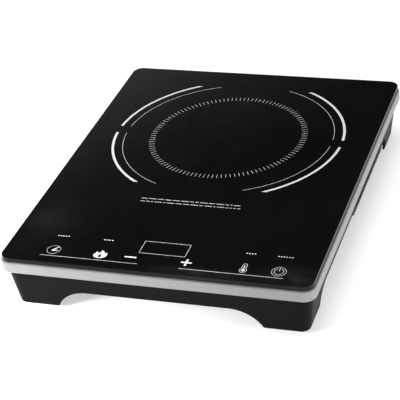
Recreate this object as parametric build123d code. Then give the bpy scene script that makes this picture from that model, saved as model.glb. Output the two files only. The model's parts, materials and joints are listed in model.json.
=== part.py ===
from build123d import *
import os, math

os.makedirs("parts", exist_ok=True)

# ---------------------------------------------------------------------------
# Portable induction cooktop.  Millimetres, +Z up, origin at the centre of the
# footprint on the surface that the rubber feet stand on.
# X = left to right, -Y = the side with the controls, +Y = back.
# ---------------------------------------------------------------------------

# driving dimensions
GLASS_X, GLASS_Y, GLASS_T, GLASS_R = 290.0, 370.0, 4.0, 10.0
HEIGHT = 56.5                 # feet to the top of the glass
BEAD_T = 1.0                  # adhesive bead under the glass
BAND_H = 10.2                 # silver band
BAND_OUT = 1.5                # band face stands this far outside the glass edge
BAND_IN = -1.2                # inner face of the band, from the glass edge
FOOT_PLASTIC = 2.0            # height of the rubber pads under the plastic
UNDER_Z = 22.1                # underside between the feet
SKIRT_TOP_IN, SKIRT_BOT_IN = 2.0, 7.9  # outer face of the base, inside the glass edge
FOOT_X, FOOT_Y = 106.0, 147.0 # inner sides of the four closed feet
TUB_Z = 16.4                  # underside of the deeper tub
TUB_Y0, TUB_Y1 = -20.0, 121.0 # ends of the tub
WALL = 2.5
ARCH_X, ARCH_RX = 66.5, 33.5  # front and rear arches: centre and radius
ARCH_Y, ARCH_RY = 121.0, 17.5 # side arches
COIL_Y = 52.7                 # cooking zone centre
COIL_R = 88.0
FAN_X, FAN_Y, FAN_Z, FAN_SIZE, FAN_H = -83.0, -68.0, 25.2, 80.0, 15.0

Z_GLASS = HEIGHT - GLASS_T            # 52.5
Z_BEAD = Z_GLASS - BEAD_T             # 51.5
Z_BAND = Z_BEAD - BAND_H              # 41.3
HX, HY = GLASS_X / 2, GLASS_Y / 2


def put(shape, name):
    export_step(shape, "parts/" + name + ".step")


def rr(u, r, z):
    """rounded rectangle, u mm outside the glass edge, at height z"""
    return Pos(0, 0, z) * RectangleRounded(2 * (HX + u), 2 * (HY + u), r)


def prism(u, r, z0, z1):
    return extrude(rr(u, r, z0), amount=z1 - z0)


def box(x0, x1, y0, y1, z0, z1):
    return Pos((x0 + x1) / 2, (y0 + y1) / 2, (z0 + z1) / 2) * Box(x1 - x0, y1 - y0, z1 - z0)


def cyl(x, y, r, z0, z1):
    return Pos(x, y, (z0 + z1) / 2) * Cylinder(r, z1 - z0)


def tube(x, y, ro, ri, z0, z1):
    return cyl(x, y, ro, z0, z1) - cyl(x, y, ri, z0 - 1, z1 + 1)


def cyl_x(x0, x1, y, z, r):
    return Pos((x0 + x1) / 2, y, z) * Rot(0, 90, 0) * Cylinder(r, x1 - x0)


def cyl_y(x, y0, y1, z, r):
    return Pos(x, (y0 + y1) / 2, z) * Rot(90, 0, 0) * Cylinder(r, y1 - y0)


def group(items):
    return Compound(children=[i.solid() if hasattr(i, "solid") else i for i in items])


def bend_radii(points, cap=40.0):
    """one radius per corner: 0.45 of the shorter run over the tangent of half the turn"""
    v = [Vector(*p) for p in points]
    out = []
    for a, b, c in zip(v, v[1:], v[2:]):
        turn = math.radians((b - a).get_angle(c - b))
        out.append(min(cap, 0.45 * min((b - a).length, (c - b).length) / math.tan(turn / 2)))
    print("bend radii", [round(x, 1) for x in out])
    return out


def wire_run(points, r):
    """round lead along straight runs joined by tangent arcs"""
    path = FilletPolyline(*points, radius=bend_radii(points))
    plane = Plane(origin=path @ 0, z_dir=path % 0)
    lead = sweep(plane * Circle(r), path=path)
    want = math.pi * r * r * path.length
    print("lead volume %.1f, section x length %.1f, length %.1f" % (lead.volume, want, path.length))
    return lead


def screw(x, y, z_head, head_r, head_h, shaft_r, length, up=True):
    """pan head screw: up = the head is below and the shaft goes up"""
    if up:
        s = cyl(x, y, head_r, z_head, z_head + head_h) + cyl(x, y, shaft_r, z_head + head_h, z_head + head_h + length)
        s -= box(x - head_r, x + head_r, y - 0.35, y + 0.35, z_head - 1, z_head + 0.8)
        s -= box(x - 0.35, x + 0.35, y - head_r, y + head_r, z_head - 1, z_head + 0.8)
    else:
        s = cyl(x, y, head_r, z_head - head_h, z_head) + cyl(x, y, shaft_r, z_head - head_h - length, z_head - head_h)
        s -= box(x - head_r * 0.7, x + head_r * 0.7, y - 0.35, y + 0.35, z_head - 0.8, z_head + 1)
        s -= box(x - 0.35, x + 0.35, y - head_r * 0.7, y + head_r * 0.7, z_head - 0.8, z_head + 1)
    return s


# ------------------------------------------------------------------ casing
glass = prism(0, GLASS_R, Z_GLASS, HEIGHT)
glass = fillet(glass.faces().sort_by(Axis.Z)[-1].edges(), 0.7)
glass = chamfer(glass.faces().sort_by(Axis.Z)[0].edges(), 0.4)
put(glass, "glass_plate")

bead = prism(-0.9, GLASS_R - 0.9, Z_BEAD, Z_GLASS) - prism(-9.5, 4.0, Z_BEAD - 1, Z_GLASS + 1)
put(bead, "glass_adhesive")

band = prism(BAND_OUT, GLASS_R + BAND_OUT, Z_BAND, Z_BEAD)
band = fillet(band.faces().sort_by(Axis.Z)[-1].edges(), 1.45)
band = chamfer(band.faces().sort_by(Axis.Z)[0].edges(), 0.5)
band -= prism(BAND_IN, GLASS_R + BAND_IN, Z_BAND - 1, Z_BEAD + 1)
put(band, "trim_band")

# upper frame: wall inside the band, ledge that carries the glass, screw bosses
HOUSING_SCREWS = [(-128, -100, UNDER_Z), (128, -100, UNDER_Z), (-128, 10, TUB_Z),
                  (128, 10, TUB_Z), (-128, 100, TUB_Z), (128, 100, TUB_Z)]
CTRL = (-120.0, 120.0, -177.0, -120.0)
CTRL_SCREWS = [(-108, -173.5), (108, -173.5), (-108, -122.5), (108, -122.5)]
CTRL_TOP = 44.5
frame = prism(BAND_IN, GLASS_R + BAND_IN, Z_BAND, Z_BEAD) - prism(-3.4, 6.6, Z_BAND - 1, Z_BEAD + 1)
ledge = prism(-3.0, 7.0, 49.5, Z_BEAD) - prism(-15.0, 4.0, 49, 52)
bar = box(-131, 131, -126, -116, 49.5, Z_BEAD)
frame = frame + ledge + bar
for x, y, zb in HOUSING_SCREWS:
    frame += cyl(x, y, 4.2, 36.0, 50.0)
for x, y in CTRL_SCREWS:
    frame += cyl(x, y, 3.2, CTRL_TOP, 50.0)
for x, y, zb in HOUSING_SCREWS:
    frame -= cyl(x, y, 1.5, 30.0, 48.0)
for x, y in CTRL_SCREWS:
    frame -= cyl(x, y, 1.3, 40.0, 49.0)
# stiffening ribs under the ledge, clear of the lower housing's tongue
for y in (-60, -20, 60, 140):
    for s in (-1, 1):
        frame += box(min(s * 130, s * 138), max(s * 130, s * 138), y - 0.8, y + 0.8, 45.5, 49.8)
put(frame, "upper_frame")


# lower housing --------------------------------------------------------------
def under_x(t):
    """everything below the floor, as seen from the side, raised by t"""
    prof = Polyline((-ARCH_Y, -8), (-ARCH_Y, UNDER_Z + t), (TUB_Y0, UNDER_Z + t), (TUB_Y0 + 11, TUB_Z + t),
                    (TUB_Y1 - 9, TUB_Z + t), (TUB_Y1, UNDER_Z + t), (ARCH_Y, UNDER_Z + t) if ARCH_Y > TUB_Y1 else (TUB_Y1, UNDER_Z + t - 0.001),
                    (TUB_Y1, -8), close=True)
    f = Plane.YZ * make_face(prof)
    body = extrude(f, amount=200, both=True)
    zc = UNDER_Z - ARCH_RY
    body += cyl_x(-200, 200, -ARCH_Y, zc, ARCH_RY + t)
    body += cyl_x(-200, 200, ARCH_Y, zc, ARCH_RY + t) - box(-201, 201, ARCH_Y - 40, ARCH_Y, -40, 60)
    return body


def under_y(t, y0, y1):
    """the same for the arches in the front and rear walls"""
    zc = UNDER_Z - ARCH_RX
    body = box(-ARCH_X, ARCH_X, y0, y1, -8, UNDER_Z + t)
    for s in (-1, 1):
        body += cyl_y(s * ARCH_X, y0, y1, zc, ARCH_RX + t)
    return body


def loft2(u0, r0, z0, u1, r1, z1):
    return loft([rr(u0, r0, z0), rr(u1, r1, z1)], ruled=True)


def in_u(z):
    """inner face of the wall, from the glass edge, at height z"""
    return -SKIRT_BOT_IN + TAPER * (z - FOOT_PLASTIC) - WALL


def foot_gap(t):
    """space between the closed feet, behind the thin skirt, raised and widened by t"""
    return (box(-FOOT_X - t, FOOT_X + t, -200, TUB_Y0, -8, UNDER_Z + t) + box(-FOOT_X - t, FOOT_X + t, TUB_Y1, 200, -8, UNDER_Z + t)
            + box(-200, 200, -FOOT_Y - t, TUB_Y0, -8, UNDER_Z + t) + box(-200, 200, TUB_Y1, FOOT_Y + t, -8, UNDER_Z + t))


TAPER = (SKIRT_BOT_IN - SKIRT_TOP_IN) / (Z_BAND - FOOT_PLASTIC)
outer = loft2(-SKIRT_BOT_IN, 8.0, FOOT_PLASTIC, -SKIRT_TOP_IN, 12.0, Z_BAND)
outer = fillet(outer.faces().sort_by(Axis.Z)[0].edges(), 2.2)
outer = outer - under_x(0) - under_y(0, -200, TUB_Y0) - under_y(0, TUB_Y1, 200)
outer = outer - (loft2(in_u(-1.0), 5.4, -1.0, in_u(30.0), 8.4, 30.0) & foot_gap(0))
z_in = FOOT_PLASTIC + WALL
cavity = loft2(in_u(z_in), 5.6, z_in, in_u(Z_BAND + 2), 9.7, Z_BAND + 2)
cavity = cavity - under_x(WALL) - under_y(WALL, -200, TUB_Y0) - under_y(WALL, TUB_Y1, 200) - foot_gap(WALL)
base = outer - cavity
# tongue that locates inside the upper frame's wall
base += prism(-3.6, 6.4, Z_BAND - 1.5, 44.0) - prism(-5.4, 4.6, 30, 50)
COIL_POSTS = [(98 * math.cos(math.radians(a)), COIL_Y + 98 * math.sin(math.radians(a))) for a in (90, 210, 330)]
BOARD = (-34.0, 118.0, -112.0, -34.0)
BOARD_Z = 29.2
BOARD_SCREWS = [(-29, -107), (113, -107), (-29, -39), (113, -39)]
FAN_HOLES = [(FAN_X + sx * 35.75, FAN_Y + sy * 35.75) for sx in (-1, 1) for sy in (-1, 1)]
for x, y, zb in HOUSING_SCREWS:
    base += cyl(x, y, 4.2, zb + 1.0, 36.0)
for x, y in COIL_POSTS:
    base += cyl(x, y, 5.0, (TUB_Z if y < 100 else UNDER_Z) + 1.0, 36.0)
for x, y in BOARD_SCREWS:
    base += cyl(x, y, 3.2, UNDER_Z + 1.0, BOARD_Z)
for x, y in FAN_HOLES:
    base += cyl(x, y, 4.2, UNDER_Z + 1.0, FAN_Z)
# flat pad for the cord gland in the rear wall
GL_X, GL_Z = 50.0, 33.0
base += cyl_y(GL_X, 176.2, 183.2, GL_Z, 8.2)
for x, y, zb in HOUSING_SCREWS:
    base -= cyl(x, y, 3.5, zb - 1.0, zb + 2.2)
    base -= cyl(x, y, 1.7, zb - 1.0, 37.0)
for x, y in COIL_POSTS:
    base -= cyl(x, y, 1.5, 27.0, 37.0)
for x, y in BOARD_SCREWS:
    base -= cyl(x, y, 1.3, UNDER_Z + 1.5, BOARD_Z + 1)
for x, y in FAN_HOLES:
    base -= cyl(x, y, 1.5, UNDER_Z + 0.8, FAN_Z + 1)
base -= cyl_y(GL_X, 170, 190, GL_Z, 5.55)
# air intake under the fan
slots = None
for i in range(-5, 6):
    s = box(FAN_X + i * 6.0 - 1.5, FAN_X + i * 6.0 + 1.5, FAN_Y - 40, FAN_Y + 40, UNDER_Z - 2, UNDER_Z + 4)
    slots = s if slots is None else slots + s
ring = cyl(FAN_X, FAN_Y, 34.5, UNDER_Z - 2, UNDER_Z + 4) - cyl(FAN_X, FAN_Y, 13.0, UNDER_Z - 3, UNDER_Z + 5)
base -= (slots & ring)
# air outlets: both sides of the tub, and the rear wall
for i in range(23):
    y = -3.0 + i * 5.0
    base -= box(-150, -130, y - 1.25, y + 1.25, 19.6, 37.0)
    base -= box(130, 150, y - 1.25, y + 1.25, 19.6, 37.0)
for i in range(17):
    x = -88.0 + i * 6.0
    base -= box(x - 1.5, x + 1.5, 172, 190, 27.0, 38.0)
# seats for the rubber pads
FEET = [(sx * 116.0, sy * 157.0) for sx in (-1, 1) for sy in (-1, 1)]
for x, y in FEET:
    base -= cyl(x, y, 8.0, 0, FOOT_PLASTIC + 1.0)
put(base, "lower_housing")

pads = []
for x, y in FEET:
    p = cyl(x, y, 8.0, 0, FOOT_PLASTIC + 1.0)
    p = chamfer(p.faces().sort_by(Axis.Z)[0].edges(), 0.5)
    pads.append(p)
put(group(pads), "rubber_feet")

put(group([screw(x, y, zb + 0.2, 3.1, 2.0, 1.45, 45.5 - zb - 2.2) for x, y, zb in HOUSING_SCREWS]), "housing_screws")

# cord gland: flanged bush and nut; the cord is not part of the model
gland = cyl_y(GL_X, 183.2, 185.0, GL_Z, 7.6) + cyl_y(GL_X, 171.5, 183.2, GL_Z, 5.5)
gland -= cyl_y(GL_X, 165, 190, GL_Z, 3.6)
gland = chamfer(gland.faces().sort_by(Axis.Y)[-1].edges(), 0.6)
put(gland, "cord_gland")
nut = extrude(Plane(origin=(GL_X, 176.2, GL_Z), z_dir=(0, -1, 0)) * RegularPolygon(8.2, 6), amount=3.2)
nut -= cyl_y(GL_X, 170, 180, GL_Z, 5.5)
put(nut, "gland_nut")

# ------------------------------------------------------------------ coil
Z_MICA = 51.9
mica = tube(0, COIL_Y, 92.0, 14.0, Z_MICA, Z_GLASS)
put(mica, "mica_sheet")
Z_COIL = 47.4
coil = tube(0, COIL_Y, COIL_R, 27.0, Z_COIL, Z_MICA)
# grooves between the turns of the winding
for k in range(1, 19):
    rk = 27.0 + k * (COIL_R - 27.0) / 19
    coil -= tube(0, COIL_Y, rk + 0.18, rk - 0.18, Z_MICA - 0.8, Z_MICA + 1)
put(coil, "coil_winding")

former = cyl(0, COIL_Y, 91.0, 44.4, Z_COIL)
for k in range(8):
    a = math.radians(k * 45)
    win = tube(0, COIL_Y, 82.0, 32.0, 44, 48)
    wedge = Pos(0, COIL_Y, 46) * Rot(0, 0, k * 45) * Pos(57, 0, 0) * Box(60, 16, 8)
    former -= (win & wedge)
former += tube(0, COIL_Y, 91.0, 89.2, 44.4, 50.6)
former += tube(0, COIL_Y, 22.0, 16.5, 44.4, 50.6)
former -= cyl(0, COIL_Y, 2.3, 44, 48)
for x, y in COIL_POSTS:
    a = math.degrees(math.atan2(y - COIL_Y, x))
    ear = Pos(0, COIL_Y, 45.9) * Rot(0, 0, a) * Pos(96.5, 0, 0) * Box(15, 13, 3.0)
    former += ear
    former -= cyl(x, y, 1.9, 44, 48)
# gaps for the inner and the outer coil lead
former -= box(-2.1, 2.1, COIL_Y - 30.0, COIL_Y - 22.2, 44, 52)
former -= box(21.5, 26.5, COIL_Y - 95, COIL_Y - 84, Z_COIL, 52)
# rails that hold the ferrite bars
for k in range(8):
    for s in (-1, 1):
        former += Pos(0, COIL_Y, 43.2) * Rot(0, 0, 22.5 + 45 * k) * Pos(55, s * 7.0, 0) * Box(56, 1.4, 2.5)
put(former, "coil_former")
bars = []
for k in range(8):
    b = Box(56, 12, 5.0)
    b = chamfer(b.edges().filter_by(Axis.Z), 0.6)
    bars.append(Pos(0, COIL_Y, 41.9) * Rot(0, 0, 22.5 + 45 * k) * Pos(55, 0, 0) * b)
put(group(bars), "ferrite_bars")

springs = []
for x, y in COIL_POSTS:
    h = Helix(pitch=2.3, height=7.1, radius=3.5, center=(0, 0, 0))
    w = sweep(Plane(origin=h @ 0, z_dir=h % 0) * Circle(0.45), path=h)
    springs.append(Pos(x, y, 36.65) * w)
put(group(springs), "coil_springs")
put(group([screw(x, y, 49.4, 3.0, 2.0, 1.45, 18.0, up=False) for x, y in COIL_POSTS]), "coil_screws")

cap = cyl(0, COIL_Y, 8.0, 47.4, Z_GLASS)
cap = fillet(cap.faces().sort_by(Axis.Z)[-1].edges(), 1.0)
cap -= cyl(0, COIL_Y, 1.8, 46, 51.6)
put(cap, "sensor_cap")
put(cyl(0, COIL_Y, 1.75, 47.6, 51.5), "pan_sensor")

# ------------------------------------------------------------------ main board
bt = BOARD_Z + 1.6
board = box(BOARD[0], BOARD[1], BOARD[2], BOARD[3], BOARD_Z, bt)
board = fillet(board.edges().filter_by(Axis.Z), 1.5)
for x, y in BOARD_SCREWS:
    board -= cyl(x, y, 1.6, BOARD_Z - 1, bt + 1)
put(board, "main_board")
put(group([screw(x, y, bt + 1.8, 2.8, 1.8, 1.25, 5.0, up=False) for x, y in BOARD_SCREWS]), "main_board_screws")

# power devices lie flat on the board, the heatsink lies on them
put(box(-20, -4, -84, -63, bt, bt + 4.8), "power_transistor")
put(box(6, 30, -82, -66, bt, bt + 4.8), "bridge_rectifier")
hz = bt + 4.8
sink = box(-26, 40, -92, -54, hz, hz + 3.0)
for i in range(10):
    y = -91.2 + i * 4.044
    sink += box(-26, 40, y - 0.6, y + 0.8, hz + 2.9, hz + 14.0)
for x, y in ((-12, -73.5), (18, -74)):
    sink -= cyl(x, y, 4.0, hz + 3.0, hz + 20)
    sink -= cyl(x, y, 1.6, hz - 1, hz + 4)
put(sink, "heatsink")
dev = []
for x, y in ((-12, -73.5), (18, -74)):
    dev.append(screw(x, y, hz + 5.0, 3.0, 2.0, 1.5, 3.0, up=False))
put(group(dev), "heatsink_screws")

def boxcap(x0, x1, y0, y1, h, name):
    c = box(x0, x1, y0, y1, bt, bt + h)
    c = fillet(c.edges().filter_by(Axis.Z), 1.0)
    c = fillet(c.faces().sort_by(Axis.Z)[-1].edges(), 0.8)
    put(c, name)

boxcap(46, 78, -74, -56, 18.0, "resonance_capacitor")
boxcap(46, 84, -96, -78, 17.0, "filter_capacitor")
boxcap(90, 108, -66, -56, 14.0, "suppression_capacitor")
choke = Pos(99, -82, bt + 6.0) * (Cylinder(11.0, 12.0) - Cylinder(4.5, 14.0))
choke = fillet(choke.edges().filter_by(GeomType.CIRCLE), 2.0)
put(choke, "filter_choke")
put(group([cyl(-20, -101, 5.0, bt, bt + 14), cyl(-7, -101, 4.0, bt, bt + 12), cyl(3, -101, 4.0, bt, bt + 12)]), "smoothing_capacitors")
tr = box(12, 32, -109, -95, bt, bt + 15.0) - box(11, 33, -105.5, -98.5, bt + 3, bt + 12)
tr += box(15, 29, -108, -96, bt + 3.0, bt + 12.0)
put(tr, "standby_transformer")
fuse = cyl_x(76, 96, -46, bt + 4.6, 2.6) + cyl_x(75, 79.5, -46, bt + 4.6, 3.0) + cyl_x(92.5, 97, -46, bt + 4.6, 3.0)
put(fuse, "mains_fuse")
clips = []
for x in (77.2, 94.8):
    c = box(x - 2, x + 2, -50, -42, bt, bt + 7.0) - cyl_x(x - 3, x + 3, -46, bt + 4.6, 3.0) - box(x - 3, x + 3, -47.6, -44.4, bt + 4.6, bt + 9)
    clips.append(c)
put(group(clips), "fuse_clips")
var = cyl_y(99, -106, -101.5, bt + 7.5, 6.0) + box(96, 102, -104.9, -102.6, bt, bt + 3)
put(var, "varistor")

terms, tscr = [], []
for x, y in ((0.0, -44.0), (24.0, -44.0)):
    t = box(x - 4, x + 4, y - 4, y + 4, bt, bt + 9.0) - cyl(x, y, 1.55, bt + 5.0, bt + 10)
    t -= cyl_y(x, y, y + 5, bt + 5.0, 1.65) if x < 10 else cyl_x(x, x + 5, y, bt + 5.0, 1.65)
    terms.append(t)
    tscr.append(screw(x, y, bt + 11.0, 3.2, 2.0, 1.5, 2.3, up=False))
put(group(terms), "coil_terminals")
put(group(tscr), "coil_terminal_screws")
MT = ((60.0, -41.0), (68.0, -41.0))
put(group([box(x - 2.4, x + 2.4, y - 0.4, y + 0.4, bt, bt + 7.0) for x, y in MT]), "mains_tabs")
HDR = ((-30.0, -92.0), (-30.0, -66.0), (46.0, -41.0))
hdrs = []
for x, y in HDR:
    dx, dy = (3.0, 5.0) if x < 0 else (5.0, 3.0)
    h = box(x - dx, x + dx, y - dy, y + dy, bt, bt + 6.0) - box(x - dx + 0.8, x + dx - 0.8, y - dy + 0.8, y + dy - 0.8, bt + 1.2, bt + 7)
    hdrs.append(h)
put(group(hdrs), "board_headers")

# ------------------------------------------------------------------ mains terminal block
tb = box(22, 42, 160, 172, UNDER_Z + WALL, UNDER_Z + WALL + 13)
for x in (27.0, 37.0):
    tb -= cyl(x, 166, 2.6, UNDER_Z + WALL + 8.0, UNDER_Z + WALL + 14)
    tb -= cyl_y(x, 159, 173, UNDER_Z + WALL + 5.0, 1.8)
put(tb, "mains_terminal_block")
put(group([screw(x, 166, UNDER_Z + WALL + 12.4, 2.5, 1.6, 1.4, 2.6, up=False) for x in (27.0, 37.0)]), "terminal_block_screws")

# ------------------------------------------------------------------ leads
zt = UNDER_Z + WALL + 5.0
lead1 = wire_run([(27, 166.5, zt), (27, 148, zt), (60, 128, 27.3), (108, 100, 23.0), (112, 40, 22.8), (112, -12, 25.5),
                  (102, -29, 33.5), (68, -32, 36.2), (68, -40.6, 36.2)], 1.1)
lead2 = wire_run([(37, 166.5, zt), (37, 153, zt), (66, 135, 28.5), (113, 106, 26.0), (117, 42, 26.0), (117, -12, 29.0),
                  (105, -26, 38.0), (60, -30, 38.6), (60, -40.3, 36.2)], 1.1)
put(group([lead1, lead2]), "mains_leads")

# coil leads: the outer end of the winding, and the inner end that passes under it
zc = bt + 5.0
c1 = wire_run([(24, COIL_Y - 85.2, 49.4), (26.5, -39, 49.2), (32, -43.5, 46.0), (34.2, -44, 41.0), (32.0, -44, zc), (25.2, -44, zc)], 1.6)
c2 = wire_run([(0, COIL_Y - 25.2, 50.6), (0, COIL_Y - 25.2, 42.3), (0, 10, 41.0), (0, -14, 38.6), (0, -30, zc), (0, -42.8, zc)], 1.6)
put(group([c1, c2]), "coil_leads")

sl = wire_run([(0, COIL_Y, 47.6), (0, COIL_Y, 40.5), (10, COIL_Y - 22, 38.0), (12, 0, 37.6), (30, -28, 38.6), (44, -39, 41.2), (46, -41, 37.0), (46, -41, 32.2)], 0.8)
put(sl, "sensor_lead")

# ------------------------------------------------------------------ cooling fan
R_IN = 38.0
ff = box(FAN_X - FAN_SIZE / 2, FAN_X + FAN_SIZE / 2, FAN_Y - FAN_SIZE / 2, FAN_Y + FAN_SIZE / 2, FAN_Z, FAN_Z + FAN_H)
ff = fillet(ff.edges().filter_by(Axis.Z), 4.0)
ff -= cyl(FAN_X, FAN_Y, R_IN, FAN_Z - 1, FAN_Z + FAN_H + 1)
waist = box(FAN_X - 50, FAN_X + 50, FAN_Y - 50, FAN_Y + 50, FAN_Z + 3.0, FAN_Z + FAN_H - 3.0) - cyl(FAN_X, FAN_Y, 39.6, FAN_Z, FAN_Z + FAN_H)
for x, y in FAN_HOLES:
    waist -= cyl(x, y, 3.8, FAN_Z, FAN_Z + FAN_H)
ff -= waist
for x, y in FAN_HOLES:
    ff -= cyl(x, y, 2.1, FAN_Z - 1, FAN_Z + FAN_H + 1)
ff += cyl(FAN_X, FAN_Y, 16.5, FAN_Z, FAN_Z + 1.8)
for a in (20, 110, 200, 290):
    ff += Pos(FAN_X, FAN_Y, FAN_Z + 0.9) * Rot(0, 0, a) * Pos(27.4, 0, 0) * Box(22.8, 3.0, 1.8)
put(ff, "fan_frame")
put(tube(FAN_X, FAN_Y, 4.0, 1.55, FAN_Z + 1.8, FAN_Z + 10.6), "fan_bearing")
st = tube(FAN_X, FAN_Y, 11.5, 4.0, FAN_Z + 4.0, FAN_Z + 10.0)
for k in range(4):
    st -= Pos(FAN_X, FAN_Y, FAN_Z + 7) * Rot(0, 0, 45 + 90 * k) * Pos(9.0, 0, 0) * Box(7.0, 2.2, 8)
put(st, "fan_stator")
hub = cyl(FAN_X, FAN_Y, 17.0, FAN_Z + 2.4, FAN_Z + 13.6)
hub = fillet(hub.faces().sort_by(Axis.Z)[-1].edges(), 1.5)
hub -= cyl(FAN_X, FAN_Y, 15.6, FAN_Z + 1, FAN_Z + 12.1)
hub -= cyl(FAN_X, FAN_Y, 1.5, FAN_Z + 1, FAN_Z + 13.2)
sleeve = tube(FAN_X, FAN_Y, 36.7, 16.4, FAN_Z + 2.6, FAN_Z + 13.0)
for k in range(7):
    blade = Pos(FAN_X, FAN_Y, FAN_Z + 7.8) * Rot(0, 0, k * 360 / 7) * Pos(27.0, 0, 0) * Rot(38, 0, 0) * Box(26.0, 1.3, 24.0)
    hub += (blade & sleeve)
put(hub, "fan_rotor")
put(cyl(FAN_X, FAN_Y, 1.5, FAN_Z + 2.4, FAN_Z + 13.2), "fan_shaft")
put(tube(FAN_X, FAN_Y, 15.6, 13.4, FAN_Z + 3.4, FAN_Z + 11.4), "fan_magnet_ring")
put(group([screw(x, y, FAN_Z + FAN_H + 2.0, 3.2, 2.0, 1.45, 17.2, up=False) for x, y in FAN_HOLES]), "fan_screws")
fl = wire_run([(FAN_X + 40.4, -66, FAN_Z + 13.2), (-38.5, -66, 40.2), (-32.8, -66, 40.4), (-30, -66, 36.8), (-30, -66, 32.2)], 0.9)
put(fl, "fan_lead")

# ------------------------------------------------------------------ control board
cb = box(CTRL[0], CTRL[1], CTRL[2], CTRL[3], CTRL_TOP - 1.6, CTRL_TOP)
cb = fillet(cb.edges().filter_by(Axis.Z), 2.0)
for x, y in CTRL_SCREWS:
    cb -= cyl(x, y, 1.6, 40, 46)
put(cb, "control_board")
put(group([screw(x, y, CTRL_TOP - 1.6 - 1.8, 2.8, 1.8, 1.25, 5.5) for x, y in CTRL_SCREWS]), "control_board_screws")
KEYS = [(-98.0, -165.3), (-53.0, -165.3), (-24.3, -166.0), (27.7, -166.0), (80.0, -166.0), (111.3, -166.0)]
disp = box(-20.5, 24.5, -158.5, -138.5, CTRL_TOP, 51.9)
for i in range(4):
    x = -13.6 + i * 10.4
    for dx, dy, w, h in ((0, 6, 4.6, 1.1), (0, 0, 4.6, 1.1), (0, -6, 4.6, 1.1),
                         (-2.9, 3, 1.1, 4.6), (2.9, 3, 1.1, 4.6), (-2.9, -3, 1.1, 4.6), (2.9, -3, 1.1, 4.6)):
        disp -= Pos(x + dx, -148.5 + dy, 51.9) * Box(w, h, 1.0)
put(disp, "display_module")
springs = []
for x, y in KEYS:
    h = Helix(pitch=2.3, height=6.9, radius=3.2)
    w = sweep(Plane(origin=h @ 0, z_dir=h % 0) * Circle(0.35), path=h)
    springs.append(Pos(x, y, CTRL_TOP + 0.45) * w)
put(group(springs), "key_springs")
put(group([box(x - 1.6, x + 1.6, y + 9.2, y + 10.8, CTRL_TOP, CTRL_TOP + 1.4) for x, y in KEYS]), "indicator_leds")
chip = box(44, 56, -160, -148, CTRL_TOP, CTRL_TOP + 1.6)
chip = chamfer(chip.faces().sort_by(Axis.Z)[-1].edges(), 0.3)
put(chip, "controller_chip")
buz = cyl(60, -136, 6.0, CTRL_TOP, CTRL_TOP + 4.8) - cyl(60, -136, 1.0, CTRL_TOP + 3, CTRL_TOP + 6)
put(buz, "buzzer")
# flat ribbon from the underside of the control board to the main board
rpts = [(-30, -127, CTRL_TOP - 1.6), (-30, -127, 36.5), (-30, -116, 35.8), (-30, -104, 38.2), (-30, -92, 40.2), (-30, -92, 32.2)]
rp = FilletPolyline(*rpts, radius=bend_radii(rpts))
rib = sweep(Plane(origin=rp @ 0, x_dir=(1, 0, 0), z_dir=rp % 0) * Rectangle(4.0, 0.9), path=rp)
print("ribbon volume %.1f, section x length %.1f" % (rib.volume, 4.0 * 0.9 * rp.length))
put(rib, "ribbon_cable")
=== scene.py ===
import json
import math
import random

import bmesh
import bpy
from mathutils import Matrix, Vector


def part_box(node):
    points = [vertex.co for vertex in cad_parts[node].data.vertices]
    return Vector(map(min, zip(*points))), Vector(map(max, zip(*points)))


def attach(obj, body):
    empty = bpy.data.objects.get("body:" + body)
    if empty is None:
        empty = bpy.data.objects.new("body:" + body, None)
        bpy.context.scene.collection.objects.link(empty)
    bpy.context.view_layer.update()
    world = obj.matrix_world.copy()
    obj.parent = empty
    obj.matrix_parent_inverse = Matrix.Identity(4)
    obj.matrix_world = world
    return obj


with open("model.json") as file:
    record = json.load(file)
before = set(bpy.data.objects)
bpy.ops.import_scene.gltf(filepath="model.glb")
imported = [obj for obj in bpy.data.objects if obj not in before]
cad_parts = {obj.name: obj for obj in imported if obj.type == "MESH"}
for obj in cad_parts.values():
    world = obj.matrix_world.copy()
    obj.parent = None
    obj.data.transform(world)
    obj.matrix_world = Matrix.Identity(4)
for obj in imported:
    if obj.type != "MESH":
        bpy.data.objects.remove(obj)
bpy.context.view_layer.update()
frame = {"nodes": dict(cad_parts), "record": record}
SC = bpy.context.scene
NODES = frame["nodes"]
RECORD = frame["record"]
rng = random.Random(11)

# ---------------------------------------------------------------- camera
cam_data = bpy.data.cameras.new("camera")
cam = bpy.data.objects.new("camera", cam_data)
SC.collection.objects.link(cam)
SC.camera = cam
cam_data.sensor_fit = "HORIZONTAL"
cam_data.sensor_width = 36.0
cam_data.lens = 137.119
cam_data.clip_start, cam_data.clip_end = 0.05, 60.0
RIGHT = Vector((0.94783027, 0.30226789, -0.10125166))
UP = -Vector((0.07828914, -0.52862541, -0.84523724))
BACK = -Vector((-0.30901227, 0.79321453, -0.52471146))
m = Matrix.Identity(4)
for i in range(3):
    m[i][0], m[i][1], m[i][2] = RIGHT[i], UP[i], BACK[i]
m.translation = Vector((0.444712, -1.186172, 0.797714))
cam.matrix_world = m

# ---------------------------------------------------------------- light
SC.view_settings.view_transform = "Standard"
SC.view_settings.look = "None"
SC.view_settings.exposure = 0.0
SC.view_settings.gamma = 1.0


def area(name, at, to, size, power, size_y=None, colour=(1, 1, 1), glossy=True, spread=180.0):
    d = bpy.data.lights.new(name, "AREA")
    d.energy = power
    d.spread = math.radians(spread)
    d.color = colour
    d.shape = "RECTANGLE"
    d.size = size
    d.size_y = size_y or size
    o = bpy.data.objects.new(name, d)
    SC.collection.objects.link(o)
    o.location = Vector(at)
    o.rotation_euler = (Vector(to) - Vector(at)).to_track_quat("-Z", "Y").to_euler()
    o.visible_glossy = glossy
    o.visible_camera = False
    return o


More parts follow.
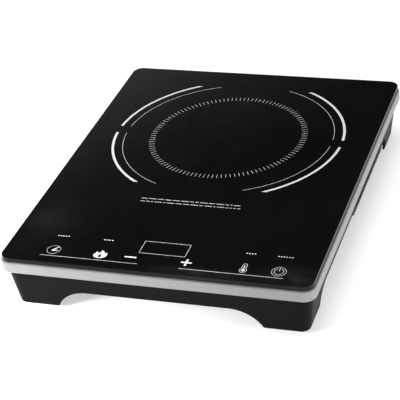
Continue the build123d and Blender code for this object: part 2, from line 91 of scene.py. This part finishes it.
area("top_soft", (0.10, 0.15, 2.6), (0, 0, 0), 2.0, 46.0, glossy=False)
area("key_left", (-0.62, -0.62, 0.30), (-0.25, -0.19, 0.045), 0.30, 2.1, 0.25, glossy=False, spread=60.0)
area("low_right", (1.65, -0.66, 0.26), (0.14, -0.10, 0.04), 0.6, 36.0, 0.36, glossy=False)

world = bpy.data.worlds.new("studio")
SC.world = world
world.use_nodes = True
wn = world.node_tree
wn.nodes.clear()
w_out = wn.nodes.new("ShaderNodeOutputWorld")
w_bg = wn.nodes.new("ShaderNodeBackground")
w_tc = wn.nodes.new("ShaderNodeTexCoord")
w_sep = wn.nodes.new("ShaderNodeSeparateXYZ")
w_ramp = wn.nodes.new("ShaderNodeValToRGB")
wn.links.new(w_tc.outputs["Generated"], w_sep.inputs[0])
wn.links.new(w_sep.outputs["Z"], w_ramp.inputs[0])
e = w_ramp.color_ramp.elements
e[0].position, e[0].color = 0.04, (1.05, 1.05, 1.05, 1)
e[1].position, e[1].color = 0.40, (0.012, 0.0125, 0.014, 1)
x = w_ramp.color_ramp.elements.new(0.17)
x.color = (0.52, 0.52, 0.53, 1)
x = w_ramp.color_ramp.elements.new(0.80)
x.color = (0.10, 0.10, 0.105, 1)
# a paler zone of the room, low behind the left corner
w_dot = wn.nodes.new("ShaderNodeVectorMath")
w_dot.operation = "DOT_PRODUCT"
w_dot.inputs[1].default_value = (-0.45, 0.0, -1.0)
wn.links.new(w_tc.outputs["Generated"], w_dot.inputs[0])
w_shift = wn.nodes.new("ShaderNodeMath")
w_shift.operation = "ADD"
w_shift.inputs[1].default_value = 0.5
wn.links.new(w_dot.outputs["Value"], w_shift.inputs[0])
w_zone = wn.nodes.new("ShaderNodeValToRGB")
z = w_zone.color_ramp.elements
z[0].position, z[0].color = 0.12, (0.0, 0.0, 0.0, 1)
z[1].position, z[1].color = 0.17, (0.13, 0.13, 0.13, 1)
for p, v in ((0.21, 0.44), (0.26, 0.75), (0.40, 0.80)):
    k = w_zone.color_ramp.elements.new(p)
    k.color = (v, v, v, 1)
wn.links.new(w_shift.outputs[0], w_zone.inputs[0])
w_max = wn.nodes.new("ShaderNodeMix")
w_max.data_type = "RGBA"
w_max.blend_type = "LIGHTEN"
w_max.inputs[0].default_value = 1.0
wn.links.new(w_ramp.outputs[0], w_max.inputs[6])
wn.links.new(w_zone.outputs[0], w_max.inputs[7])
wn.links.new(w_max.outputs[2], w_bg.inputs["Color"])
w_bg.inputs["Strength"].default_value = 1.0
wn.links.new(w_bg.outputs[0], w_out.inputs["Surface"])


# ---------------------------------------------------------------- node helpers
class Mat:
    """A procedural material: colours, roughness and bump all come from nodes over the row frame in metres."""

    def __init__(self, name, rough=0.5, metallic=0.0, spec=0.5, ior=1.5, coat=0.0, coat_rough=0.1, sheen=0.0):
        self.m = bpy.data.materials.new(name)
        self.m.use_nodes = True
        self.t = self.m.node_tree
        self.t.nodes.clear()
        self.out = self.t.nodes.new("ShaderNodeOutputMaterial")
        self.b = self.t.nodes.new("ShaderNodeBsdfPrincipled")
        self.t.links.new(self.b.outputs[0], self.out.inputs["Surface"])
        self.b.inputs["Roughness"].default_value = rough
        self.b.inputs["Metallic"].default_value = metallic
        self.b.inputs["Specular IOR Level"].default_value = spec
        self.b.inputs["IOR"].default_value = ior
        self.b.inputs["Coat Weight"].default_value = coat
        self.b.inputs["Coat Roughness"].default_value = coat_rough
        self.b.inputs["Sheen Weight"].default_value = sheen
        self.tc = self.t.nodes.new("ShaderNodeTexCoord")
        self.at = self.tc.outputs["Object"]
        self._bump = None

    def link(self, a, b):
        self.t.links.new(a, b)

    def shift(self, loc=(0, 0, 0), rot=(0, 0, 0), scale=(1, 1, 1), at=None):
        n = self.t.nodes.new("ShaderNodeMapping")
        n.inputs["Location"].default_value = loc
        n.inputs["Rotation"].default_value = rot
        n.inputs["Scale"].default_value = scale
        self.link(at or self.at, n.inputs["Vector"])
        return n.outputs[0]

    def noise(self, scale, detail=3.0, rough=0.55, at=None, distortion=0.0):
        n = self.t.nodes.new("ShaderNodeTexNoise")
        n.inputs["Scale"].default_value = scale
        n.inputs["Detail"].default_value = detail
        n.inputs["Roughness"].default_value = rough
        n.inputs["Distortion"].default_value = distortion
        self.link(at or self.at, n.inputs["Vector"])
        return n.outputs["Fac"]

    def voronoi(self, scale, at=None, feature="F1", out="Distance"):
        n = self.t.nodes.new("ShaderNodeTexVoronoi")
        n.feature = feature
        n.inputs["Scale"].default_value = scale
        self.link(at or self.at, n.inputs["Vector"])
        return n.outputs[out]

    def wave(self, scale, kind="BANDS", direction="X", distortion=0.0, at=None, profile="SIN"):
        n = self.t.nodes.new("ShaderNodeTexWave")
        n.wave_type = kind
        if kind == "BANDS":
            n.bands_direction = direction
        else:
            n.rings_direction = direction
        n.wave_profile = profile
        n.inputs["Scale"].default_value = scale
        n.inputs["Distortion"].default_value = distortion
        n.inputs["Detail"].default_value = 2.0
        self.link(at or self.at, n.inputs["Vector"])
        return n.outputs["Fac"]

    def ramp(self, fac, stops):
        n = self.t.nodes.new("ShaderNodeValToRGB")
        el = n.color_ramp.elements
        while len(el) > 1:
            el.remove(el[-1])
        for k, (p, c) in enumerate(stops):
            s = el[0] if k == 0 else el.new(p)
            s.position = p
            s.color = tuple(c) + (1,) if len(c) == 3 else c
        self.link(fac, n.inputs[0])
        return n.outputs[0]

    def span(self, fac, lo, hi, f0=0.0, f1=1.0):
        n = self.t.nodes.new("ShaderNodeMapRange")
        n.clamp = True
        n.inputs["From Min"].default_value = f0
        n.inputs["From Max"].default_value = f1
        n.inputs["To Min"].default_value = lo
        n.inputs["To Max"].default_value = hi
        self.link(fac, n.inputs["Value"])
        return n.outputs[0]

    def math(self, op, a, b=None, c=None):
        n = self.t.nodes.new("ShaderNodeMath")
        n.operation = op
        for k, v in enumerate((a, b, c)):
            if v is None:
                continue
            if isinstance(v, (int, float)):
                n.inputs[k].default_value = v
            else:
                self.link(v, n.inputs[k])
        return n.outputs[0]

    def mix(self, fac, a, b, blend="MIX"):
        n = self.t.nodes.new("ShaderNodeMix")
        n.data_type = "RGBA"
        n.blend_type = blend
        for sock, v in ((n.inputs[0], fac), (n.inputs[6], a), (n.inputs[7], b)):
            if isinstance(v, (int, float)):
                sock.default_value = v
            elif isinstance(v, tuple):
                sock.default_value = v + (1,) if len(v) == 3 else v
            else:
                self.link(v, sock)
        return n.outputs[2]

    def colour(self, s):
        self.link(s, self.b.inputs["Base Color"])

    def rough(self, s):
        self.link(s, self.b.inputs["Roughness"])

    def bump(self, height, strength, distance):
        n = self.t.nodes.new("ShaderNodeBump")
        n.inputs["Strength"].default_value = strength
        n.inputs["Distance"].default_value = distance
        self.link(height, n.inputs["Height"])
        if self._bump is not None:
            self.link(self._bump, n.inputs["Normal"])
        self._bump = n.outputs[0]
        self.link(self._bump, self.b.inputs["Normal"])


def tone(c, k):
    return tuple(max(0.0, min(1.0, v * k)) for v in c)


def plastic(name, c, rough=0.45, grain=2600.0, grain_d=0.00003, spec=0.4, vary=0.18, dust=0.0):
    """moulded plastic: spark-eroded grain, slow drift of tone, a few polished patches"""
    a = Mat(name, rough=rough, spec=spec)
    drift = a.noise(14.0, 4.0)
    fine = a.noise(grain, 2.0, 0.6)
    base = a.ramp(drift, [(0.25, tone(c, 1 - vary)), (0.55, c), (0.8, tone(c, 1 + vary))])
    if dust:
        spots = a.span(a.noise(420.0, 6.0, 0.7), 0.0, dust, 0.62, 0.8)
        base = a.mix(spots, base, tone(c, 3.0))
    base = a.mix(a.span(fine, 0.0, 0.16, 0.35, 0.75), base, tone(c, 1.9))
    a.colour(base)
    a.rough(a.math("ADD", a.span(drift, rough - 0.05, rough + 0.07), a.span(fine, -0.03, 0.04)))
    a.bump(fine, 0.5, grain_d)
    a.bump(a.noise(90.0, 2.0), 0.12, 0.0002)
    return a.m


def metal(name, c, rough=0.3, brush=None, vary=0.12, spot=True, scale=1.0):
    """bare or plated metal: brushed streaks along one axis, stains and small scratches"""
    a = Mat(name, rough=rough, metallic=1.0)
    drift = a.noise(60.0 * scale, 4.0)
    base = a.ramp(drift, [(0.2, tone(c, 1 - vary)), (0.55, c), (0.85, tone(c, 1 + vary * 0.6))])
    if brush:
        k = {"X": (0.03, 1, 1), "Y": (1, 0.03, 1), "Z": (1, 1, 0.03)}[brush]
        st = a.noise(3200.0 * scale, 3.0, 0.6, at=a.shift(scale=k))
    else:
        st = a.noise(1500.0 * scale, 4.0, 0.65)
    base = a.mix(a.span(st, 0.0, 0.35, 0.3, 0.8), base, tone(c, 0.72))
    if spot:
        sp = a.span(a.voronoi(700.0 * scale), 0.0, 1.0, 0.0, 0.35)
        base = a.mix(a.span(sp, 0.18, 0.0), base, tone(c, 0.55))
    a.colour(base)
    a.rough(a.math("ADD", a.span(st, rough - 0.07, rough + 0.1, 0.3, 0.7), a.span(drift, -0.04, 0.05)))
    a.bump(st, 0.25, 0.00002)
    return a.m


# ---------------------------------------------------------------- materials
def m_glass():
    """black ceramic glass, opaque: faint smears and hairlines in the gloss, slight unevenness of the surface, and paler
    patches painted into the colour at the front edge and near the left corner as painted reflection
    """
    a = Mat("ceramic_glass", rough=0.07, spec=0.15, ior=1.5)
    cloud = a.noise(7.0, 5.0, 0.6)
    pepper = a.noise(1900.0, 2.0, 0.7)
    base = a.ramp(cloud, [(0.3, (0.0018, 0.0018, 0.0018)), (0.6, (0.0028, 0.0028, 0.0029)), (0.85, (0.0046, 0.0046, 0.0048))])
    base = a.mix(a.span(pepper, 0.0, 0.5, 0.55, 0.8), base, (0.010, 0.010, 0.0105))
    # paler patches painted into the glass colour at the front edge and near the left corner: painted reflection, broken
    # up by noise
    reflection_breakup = a.noise(55.0, 5.0, 0.65, distortion=0.4)
    for (hx_, hy_), (rx_, ry_), k_ in (((0.048, -0.180), (0.058, 0.010), 0.85), ((0.128, -0.173), (0.036, 0.018), 0.95), ((-0.118, -0.118), (0.024, 0.030), 0.45)):
        d_ = a.t.nodes.new("ShaderNodeVectorMath")
        d_.operation = "LENGTH"
        a.link(a.shift(loc=(-hx_ / rx_, -hy_ / ry_, 0), scale=(1 / rx_, 1 / ry_, 0)), d_.inputs[0])
        f_ = a.span(d_.outputs["Value"], k_, 0.0, 0.15, 1.15)
        # painted reflection: inside each patch the glass colour is lightened toward a pale blue-grey
        base = a.mix(a.math("MULTIPLY", f_, a.span(reflection_breakup, 0.35, 1.0, 0.35, 0.65)), base, (0.0140, 0.0150, 0.0170))
    a.colour(base)
    smear = a.noise(26.0, 6.0, 0.62, distortion=0.6)
    hair = a.noise(900.0, 2.0, 0.5, at=a.shift(rot=(0, 0, 0.6), scale=(0.02, 1, 1)))
    a.rough(a.math("ADD", a.span(smear, 0.045, 0.13, 0.35, 0.75), a.span(hair, 0.0, 0.03, 0.6, 0.75)))
    a.bump(a.noise(22.0, 1.0), 0.02, 0.0003)
    a.bump(pepper, 0.08, 0.000006)
    return a.m


def m_print(name="white_enamel", c=(0.76, 0.77, 0.78)):
    """fired screen print: slightly uneven cover, matt against the glass"""
    a = Mat(name, rough=0.5, spec=0.35)
    ink = a.noise(700.0, 4.0, 0.6)
    dots = a.voronoi(3300.0)
    base = a.ramp(ink, [(0.2, tone(c, 0.86)), (0.5, c), (0.8, tone(c, 1.08))])
    base = a.mix(a.span(dots, 0.10, 0.0, 0.0, 0.5), base, tone(c, 0.6))
    a.colour(base)
    a.rough(a.span(ink, 0.42, 0.6))
    a.bump(dots, 0.2, 0.00001)
    return a.m


def m_silver():
    """silver lacquer: fine metal flakes under a satin surface"""
    a = Mat("silver_band", rough=0.45, metallic=0.35, spec=0.4)
    c = (0.236, 0.238, 0.243)
    flake = a.voronoi(2600.0, out="Color")
    sepf = a.t.nodes.new("ShaderNodeSeparateColor")
    a.link(flake, sepf.inputs[0])
    f = sepf.outputs[0]
    cloud = a.noise(16.0, 4.0, 0.6)
    mott = a.noise(330.0, 5.0, 0.65)
    base = a.ramp(cloud, [(0.25, tone(c, 0.93)), (0.55, c), (0.8, tone(c, 1.05))])
    base = a.mix(a.span(f, 0.0, 0.30, 0.4, 1.0), base, tone(c, 1.35))
    base = a.mix(a.span(mott, 0.0, 0.16, 0.5, 0.75), base, tone(c, 0.78))
    a.colour(base)
    a.rough(a.math("ADD", a.span(cloud, 0.42, 0.49), a.span(mott, -0.03, 0.04)))
    a.bump(f, 0.12, 0.000008)
    a.bump(mott, 0.06, 0.00004)
    return a.m


def m_rubber(name="foot_rubber", c=(0.018, 0.018, 0.018)):
    a = Mat(name, rough=0.8, spec=0.25)
    n = a.noise(900.0, 5.0, 0.7)
    g = a.noise(80.0, 3.0)
    base = a.ramp(g, [(0.3, tone(c, 0.8)), (0.7, tone(c, 1.3))])
    base = a.mix(a.span(n, 0.0, 0.35, 0.5, 0.8), base, (0.05, 0.048, 0.045))
    a.colour(base)
    a.rough(a.span(n, 0.7, 0.92))
    a.bump(n, 0.35, 0.00006)
    return a.m


def m_board():
    """solder resist over copper: tracks and pads stand slightly proud, pale legend specks"""
    a = Mat("board_green", rough=0.35, spec=0.45)
    c = (0.020, 0.105, 0.048)
    grid = a.t.nodes.new("ShaderNodeTexBrick")
    grid.inputs["Scale"].default_value = 120.0
    grid.inputs["Mortar Size"].default_value = 0.06
    grid.inputs["Color1"].default_value = (0, 0, 0, 1)
    grid.inputs["Color2"].default_value = (0.35, 0.35, 0.35, 1)
    grid.inputs["Mortar"].default_value = (1, 1, 1, 1)
    a.link(a.at, grid.inputs["Vector"])
    sg = a.t.nodes.new("ShaderNodeSeparateColor")
    a.link(grid.outputs[0], sg.inputs[0])
    trk = sg.outputs[0]
    pads = a.span(a.voronoi(420.0), 1.0, 0.0, 0.10, 0.16)
    base = a.mix(a.span(trk, 0.0, 0.55), c, tone(c, 1.9))
    base = a.mix(pads, base, (0.42, 0.40, 0.34))
    base = a.mix(a.span(a.noise(50.0, 3.0), 0.0, 0.25), base, tone(c, 0.6))
    a.colour(base)
    a.rough(a.span(trk, 0.42, 0.28))
    a.bump(trk, 0.3, 0.00004)
    return a.m


def m_copper():
    """enamelled stranded winding: fine strands round the coil centre"""
    a = Mat("copper", rough=0.32, metallic=1.0)
    c = (0.62, 0.27, 0.12)
    ring = a.wave(310.0, "RINGS", "Z", 0.4, at=a.shift(loc=(0, -0.0527, 0)))
    n = a.noise(2200.0, 3.0, 0.6)
    base = a.mix(a.span(ring, 0.0, 0.55), c, tone(c, 0.45))
    base = a.mix(a.span(n, 0.0, 0.3, 0.4, 0.8), base, (0.75, 0.38, 0.2))
    a.colour(base)
    a.rough(a.span(n, 0.25, 0.42))
    a.bump(ring, 0.5, 0.00012)
    a.bump(n, 0.2, 0.00002)
    return a.m


def m_stone(name, c, rough=0.6, grain=1800.0, spec=0.35):
    """ferrite, ceramic, mica and other pressed or fired matter: grains and small pores"""
    a = Mat(name, rough=rough, spec=spec)
    g = a.noise(grain, 5.0, 0.7)
    p = a.voronoi(grain * 0.45)
    base = a.ramp(g, [(0.25, tone(c, 0.75)), (0.5, c), (0.8, tone(c, 1.25))])
    base = a.mix(a.span(p, 0.35, 0.0, 0.0, 0.25), base, tone(c, 0.5))
    a.colour(base)
    a.rough(a.span(g, rough - 0.1, rough + 0.12))
    a.bump(g, 0.35, 0.00005)
    return a.m


def m_sleeve(name, c, c2=None, pitch=700.0):
    """insulated lead: gloss skin with a faint lay of the strands beneath"""
    a = Mat(name, rough=0.4, spec=0.4)
    w = a.wave(pitch, "BANDS", "DIAGONAL", 1.2)
    n = a.noise(500.0, 3.0)
    base = a.mix(a.span(w, 0.0, 0.35), c, c2 or tone(c, 0.7))
    base = a.mix(a.span(n, 0.0, 0.25, 0.45, 0.8), base, tone(c, 1.5))
    a.colour(base)
    a.rough(a.span(n, 0.32, 0.5))
    a.bump(w, 0.25, 0.00006)
    return a.m


def m_wrap(name, c, band=260.0):
    """tape or shrink wrap in overlapping turns"""
    a = Mat(name, rough=0.35, spec=0.45)
    w = a.wave(band, "BANDS", "Z", 0.3, profile="SAW")
    n = a.noise(300.0, 4.0)
    base = a.mix(a.span(w, 0.0, 0.4), c, tone(c, 0.65))
    base = a.mix(a.span(n, 0.0, 0.3), base, tone(c, 1.3))
    a.colour(base)
    a.rough(a.span(n, 0.25, 0.45))
    a.bump(w, 0.3, 0.00008)
    return a.m


def m_led():
    a = Mat("led_red", rough=0.18, spec=0.5)
    n = a.noise(900.0, 3.0)
    a.colour(a.ramp(n, [(0.3, (0.30, 0.010, 0.008)), (0.7, (0.48, 0.03, 0.02))]))
    a.rough(a.span(n, 0.12, 0.28))
    a.bump(n, 0.15, 0.00003)
    return a.m


MATS = {
    "ceramic_glass": m_glass(),
    "black_silicone": m_rubber("black_silicone", (0.012, 0.012, 0.012)),
    "silver_band": m_silver(),
    "inner_black": plastic("inner_black", (0.014, 0.014, 0.015), 0.55),
    "housing_black": plastic("housing_black", (0.0036, 0.0036, 0.0037), 0.42, spec=0.05, dust=0.12),
    "foot_rubber": m_rubber(),
    "screw_steel": metal("screw_steel", (0.56, 0.56, 0.58), 0.3),
    "gland_black": plastic("gland_black", (0.016, 0.016, 0.017), 0.5),
    "mica": m_stone("mica", (0.40, 0.36, 0.27), 0.35, 500.0, 0.5),
    "copper": m_copper(),
    "former_plastic": plastic("former_plastic", (0.030, 0.030, 0.032), 0.5),
    "ferrite": m_stone("ferrite", (0.045, 0.045, 0.048), 0.5),
    "spring_steel": metal("spring_steel", (0.62, 0.61, 0.58), 0.25),
    "white_silicone": m_stone("white_silicone", (0.72, 0.72, 0.70), 0.55, 700.0),
    "sensor_glass": m_stone("sensor_glass", (0.30, 0.16, 0.07), 0.2, 600.0, 0.5),
    "board_green": m_board(),
    "device_black": plastic("device_black", (0.020, 0.020, 0.021), 0.5, grain=1500.0),
    "heatsink_aluminium": metal("heatsink_aluminium", (0.72, 0.73, 0.74), 0.34, brush="X"),
    "capacitor_box": plastic("capacitor_box", (0.26, 0.27, 0.29), 0.35, grain=1200.0),
    "capacitor_yellow": plastic("capacitor_yellow", (0.62, 0.38, 0.04), 0.32, grain=1200.0),
    "capacitor_can": m_wrap("capacitor_can", (0.02, 0.025, 0.06)),
    "transformer_tape": m_wrap("transformer_tape", (0.55, 0.42, 0.06)),
    "fuse_ceramic": m_stone("fuse_ceramic", (0.72, 0.70, 0.64), 0.3, 900.0, 0.5),
    "tinned_brass": metal("tinned_brass", (0.66, 0.64, 0.58), 0.32),
    "varistor_blue": m_stone("varistor_blue", (0.02, 0.07, 0.26), 0.35, 900.0, 0.45),
    "terminal_brass": metal("terminal_brass", (0.72, 0.55, 0.26), 0.3),
    "header_white": plastic("header_white", (0.70, 0.69, 0.64), 0.4, vary=0.06),
    "lead_sleeve": m_sleeve("lead_sleeve", (0.025, 0.025, 0.028)),
    "coil_sleeve": m_sleeve("coil_sleeve", (0.50, 0.47, 0.40), (0.36, 0.33, 0.27), 900.0),
    "fan_black": plastic("fan_black", (0.016, 0.016, 0.017), 0.38),
    "display_black": plastic("display_black", (0.014, 0.014, 0.016), 0.3),
    "led_red": m_led(),
}
for s in RECORD["subparts"]:
    o = NODES[s["node"]]
    mat = MATS[s["material_slot"]]
    if not o.data.materials:
        o.data.materials.append(mat)
    for k in range(len(o.material_slots)):
        o.material_slots[k].material = mat

# ---------------------------------------------------------------- print on the glass
GLASS_LO, GLASS_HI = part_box("glass_plate")
TOP = GLASS_HI.z
INK = 0.00003
CX, CY = -0.2, 52.6                      # cooking zone centre, mm


def piece(name, loops, mat, body="housing", z=TOP - 0.00001, thick=INK):
    """closed thin solid from flat outlines in mm; an outline inside another is a hole"""
    cu = bpy.data.curves.new(name + "_c", "CURVE")
    cu.dimensions = "2D"
    cu.fill_mode = "BOTH"
    cu.extrude = thick * 500.0          # half the thickness, in mm
    for pts in loops:
        sp = cu.splines.new("POLY")
        sp.points.add(len(pts) - 1)
        for q, (px, py) in zip(sp.points, pts):
            q.co = (px, py, 0, 1)
        sp.use_cyclic_u = True
    tmp = bpy.data.objects.new(name + "_c", cu)
    SC.collection.objects.link(tmp)
    bpy.context.view_layer.update()
    me = bpy.data.meshes.new_from_object(tmp.evaluated_get(bpy.context.evaluated_depsgraph_get()))
    bpy.data.objects.remove(tmp)
    bm = bmesh.new()
    bm.from_mesh(me)
    bmesh.ops.remove_doubles(bm, verts=bm.verts, dist=thick * 200.0)
    bmesh.ops.recalc_face_normals(bm, faces=bm.faces)
    bm.to_mesh(me)
    bm.free()
    me.transform(Matrix.Translation((0, 0, z + thick / 2)) @ Matrix.Diagonal((0.001, 0.001, 0.001, 1)))
    me.name = name
    me.materials.clear()
    me.materials.append(mat)
    for p in me.polygons:
        p.use_smooth = False
    o = bpy.data.objects.new(name, me)
    SC.collection.objects.link(o)
    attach(o, body)
    return o


def circle(cx, cy, r, n=96):
    return [(cx + r * math.cos(2 * math.pi * k / n), cy + r * math.sin(2 * math.pi * k / n)) for k in range(n)]


def arc_band(r0, r1, y_in, y_out, sx, sy, n=72):
    """part of a ring about the zone centre whose two ends are cut level"""
    def run(r):
        a0, a1 = math.asin(y_in / r), math.asin(min(1.0, y_out / r))
        return [(CX + sx * r * math.cos(a0 + (a1 - a0) * k / n), CY + sy * r * math.sin(a0 + (a1 - a0) * k / n)) for k in range(n + 1)]
    return run(r1) + run(r0)[::-1]


def ring_part(cx, cy, r0, r1, a0, a1, n=48):
    """part of a ring with round ends, angles in degrees"""
    rm, w = (r0 + r1) / 2, (r1 - r0) / 2
    out = []
    for k in range(n + 1):
        t = math.radians(a0 + (a1 - a0) * k / n)
        out.append((cx + r1 * math.cos(t), cy + r1 * math.sin(t)))
    t = math.radians(a1)
    for k in range(1, 8):
        u = t + math.pi * k / 8
        out.append((cx + rm * math.cos(t) + w * math.cos(u), cy + rm * math.sin(t) + w * math.sin(u)))
    for k in range(n, -1, -1):
        t = math.radians(a0 + (a1 - a0) * k / n)
        out.append((cx + r0 * math.cos(t), cy + r0 * math.sin(t)))
    t = math.radians(a0)
    for k in range(1, 8):
        u = t + math.pi + math.pi * k / 8
        out.append((cx + rm * math.cos(t) + w * math.cos(u), cy + rm * math.sin(t) + w * math.sin(u)))
    return out


def pill(x0, x1, y0, y1, r=None, n=6):
    """rectangle with rounded corners"""
    r = min((x1 - x0) / 2, (y1 - y0) / 2) * 0.98 if r is None else r
    out = []
    for cx, cy, a in ((x1 - r, y1 - r, 0), (x0 + r, y1 - r, 90), (x0 + r, y0 + r, 180), (x1 - r, y0 + r, 270)):
        for k in range(n + 1):
            t = math.radians(a + 90 * k / n)
            out.append((cx + r * math.cos(t), cy + r * math.sin(t)))
    return out


def smooth(points, corners=(), n=6):
    """closed outline through the points; the corners stay sharp"""
    out = []
    N = len(points)
    for i in range(N):
        p1, p2 = points[i], points[(i + 1) % N]
        p0 = points[i] if i in corners else points[i - 1]
        p3 = points[(i + 1) % N] if (i + 1) % N in corners else points[(i + 2) % N]
        for k in range(n):
            t = k / n
            q = []
            for a, b, c, d in zip(p0, p1, p2, p3):
                q.append(0.5 * (2 * b + (c - a) * t + (2 * a - 5 * b + 4 * c - d) * t * t + (3 * b - a - 3 * c + d) * t ** 3))
            out.append(tuple(q))
    return out


def moved(points, dx, dy, k=1.0):
    return [(dx + x * k, dy + y * k) for x, y in points]


INK_WHITE = m_print()
INK_ARC = m_print("arc_enamel", (0.61, 0.62, 0.63))
INK_LINE = m_print("line_enamel", (0.54, 0.55, 0.56))

quarters = [(1, 1, 98.4), (-1, 1, 98.4), (-1, -1, 96.0), (1, -1, 96.0)]
piece("zone_arcs_wide", [arc_band(113.75, 116.25, 6.6, y, sx, sy) for sx, sy, y in quarters], INK_ARC)
piece("zone_arcs_fine", [arc_band(104.98, 105.42, 6.6, y, sx, sy) for sx, sy, y in quarters], INK_LINE)

ticks = []
for k in range(113):
    t = 2 * math.pi * (k + 0.5) / 113
    ux, uy = math.cos(t), math.sin(t)
    w = 0.21
    ticks.append([(CX + r * ux - s * w * uy, CY + r * uy + s * w * ux) for r, s in ((73.3, -1), (79.1, -1), (79.1, 1), (73.3, 1))])
piece("zone_ticks", ticks, INK_LINE)

# two rows of plain dashes between the zone and the controls
rows = []
for y, x1 in ((-70.1, 49.0), (-75.0, 50.0)):
    x = -47.7
    while x < x1 - 2.0:
        w = min(rng.choice((2.2, 3.4, 4.6, 6.0, 7.4)), x1 - x)
        rows.append(pill(x, x + w, y - 0.43, y + 0.43, 0.3, 3))
        x += w + 1.3
piece("zone_dashes", rows, INK_LINE)

# touch fields: a short row of dots over each, and the symbols
marks = []
for cx, cy, n in ((-97.4, -143.0, 5), (-53.6, -143.1, 4), (80.3, -143.5, 4), (111.6, -143.9, 6)):
    for k in range(n):
        x = cx + (k - (n - 1) / 2) * 2.5
        marks.append(pill(x - 0.7, x + 0.7, cy - 0.6, cy + 0.6, 0.4, 3))
piece("key_dots", marks, INK_WHITE)

LW = 0.26                               # half the width of a thin stroke
tx, ty = -98.2, -165.4
piece("timer_ring", [circle(tx, ty, 6.45), circle(tx, ty, 6.10)], INK_LINE)
hands = [(-2.0, -1.9), (-1.6, -0.4), (3.4, 5.8), (4.1, 5.3), (0.6, -0.3), (4.4, -0.4), (4.5, -1.3), (-0.9, -2.1)]
piece("timer_hands", [smooth(moved(hands, tx, ty, 0.94), (0, 2, 3, 4, 5, 6), 4)], INK_ARC)

fx, fy = -53.0, -165.6
flame = [(0.0, -6.0), (3.0, -5.6), (5.3, -4.1), (6.4, -1.7), (6.1, 0.6), (5.3, 3.3), (4.5, 1.9), (3.5, 0.9), (3.1, 2.7), (1.6, 4.7),
         (-0.7, 6.3), (-0.4, 4.3), (-1.5, 2.6), (-2.6, 0.9), (-3.1, 2.4), (-4.8, 3.7), (-5.0, 1.7), (-6.2, -0.5), (-6.3, -2.6), (-4.9, -4.8), (-2.6, -5.8)]
drop = [(0.1, -5.1), (1.3, -4.4), (1.5, -3.0), (0.8, -1.2), (-0.1, 0.9), (-0.8, -0.9), (-1.6, -2.5), (-1.5, -4.1)]
piece("flame", [smooth(moved(flame, fx, fy, 0.97), (5, 7, 10, 13, 15), 5), smooth(moved(drop, fx, fy, 1.0), (4,), 4)], INK_WHITE)

piece("minus_sign", [pill(-30.1, -19.0, -166.6, -164.8, 0.35, 3)], INK_WHITE)
px, py, a, b = 27.6, -166.0, 0.98, 4.9
piece("plus_sign", [moved([(a, a), (a, b), (-a, b), (-a, a), (-b, a), (-b, -a), (-a, -a), (-a, -b), (a, -b), (a, -a), (b, -a), (b, a)], px, py)], INK_WHITE)


def bulb(w, rb, top, yb, n=20):
    """upright tube with a round end above a round bulb"""
    out = []
    for k in range(n + 1):
        t = math.pi * k / n
        out.append((w * math.cos(t), top - w + w * math.sin(t)))
    a = math.asin(w / rb)
    for k in range(n * 2 + 1):
        t = math.pi / 2 + a + (2 * math.pi - 2 * a) * k / (n * 2)
        out.append((rb * math.cos(t), yb + rb * math.sin(t)))
    return out


hx, hy = 80.0, -165.9
piece("thermometer", [moved(bulb(2.1, 3.5, 6.9, -3.3), hx, hy), moved(bulb(1.62, 3.02, 6.42, -3.3), hx, hy),
                      moved(bulb(0.55, 1.85, 4.2, -3.3), hx, hy)], INK_ARC)
qx, qy = 111.4, -166.3
piece("power_symbol", [circle(qx, qy, 6.62), circle(qx, qy, 6.20), ring_part(qx, qy, 3.87, 4.33, 116, 424),
                       pill(qx - LW, qx + LW, qy + 0.4, qy + 5.2)], INK_ARC)
piece("display_frame", [pill(-19.7, 23.9, -158.1, -139.0, 0.6, 4), pill(-19.2, 23.4, -157.6, -139.5, 0.3, 3)], INK_LINE)
piece("key_lines", [pill(-108.3, -15.0, -175.05, -174.55, 0.2, 3), pill(23.3, 117.3, -175.85, -175.2, 0.2, 3)], INK_LINE)

# ---------------------------------------------------------------- floor
fm = Mat("floor_white", rough=0.85, spec=0.2)
fn = fm.noise(5.0, 4.0)
fm.colour(fm.ramp(fn, [(0.3, (0.66, 0.66, 0.66)), (0.7, (0.70, 0.70, 0.70))]))
fm.rough(fm.span(fn, 0.8, 0.92))
fm.b.inputs["Emission Color"].default_value = (1.0, 1.0, 1.0, 1.0)      # a light table
fm.b.inputs["Emission Strength"].default_value = 0.46
bm = bmesh.new()
bmesh.ops.create_grid(bm, x_segments=24, y_segments=24, size=9.0)
me = bpy.data.meshes.new("floor")
bm.to_mesh(me)
bm.free()
me.transform(Matrix.Translation((0, 0, -0.0001)))
me.materials.append(fm.m)
floor = bpy.data.objects.new("floor", me)
SC.collection.objects.link(floor)

bpy.context.view_layer.update()
